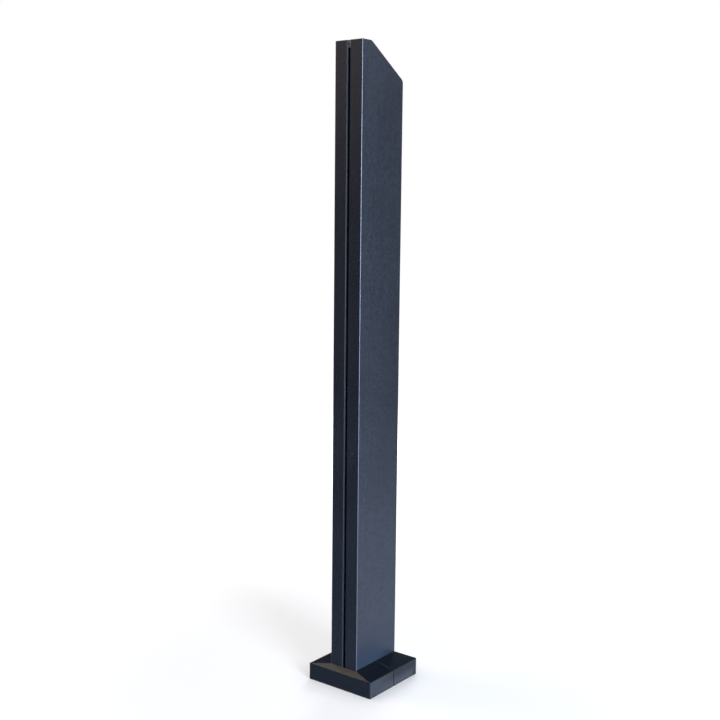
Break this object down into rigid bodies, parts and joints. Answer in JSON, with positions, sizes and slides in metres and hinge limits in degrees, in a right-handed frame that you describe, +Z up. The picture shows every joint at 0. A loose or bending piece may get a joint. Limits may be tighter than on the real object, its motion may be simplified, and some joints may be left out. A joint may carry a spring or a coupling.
{
  "type": "railing post",
  "caption": "Rectangular aluminium railing post with a T-slot in its narrow face, a slanted capped top, and a bolted foot plate under a split square cover.",
  "frame": {"origin": "middle of the foot's underside, on the floor", "axes": "+Z up along the post, X across the narrow faces, Y across the broad faces, with the slotted narrow face at -Y"},
  "size_m": [0.12, 0.122, 0.975],
  "materials": {
    "post_coating": "fine-textured matt powder coat, dark blue-grey",
    "cap_coating": "fine-textured matt powder coat, dark blue-grey",
    "plate_metal": "mill finish",
    "screw_steel": "plain stainless",
    "cover_plastic": "fine moulded grain, dark blue-grey"
  },
  "bodies": {
    "root": {"post_profile": "post_coating", "top_cap": "cap_coating", "base_plate": "plate_metal", "base_screws": "screw_steel", "cover_front_half": "cover_plastic", "cover_rear_half": "cover_plastic"}
  },
  "joints": []
}
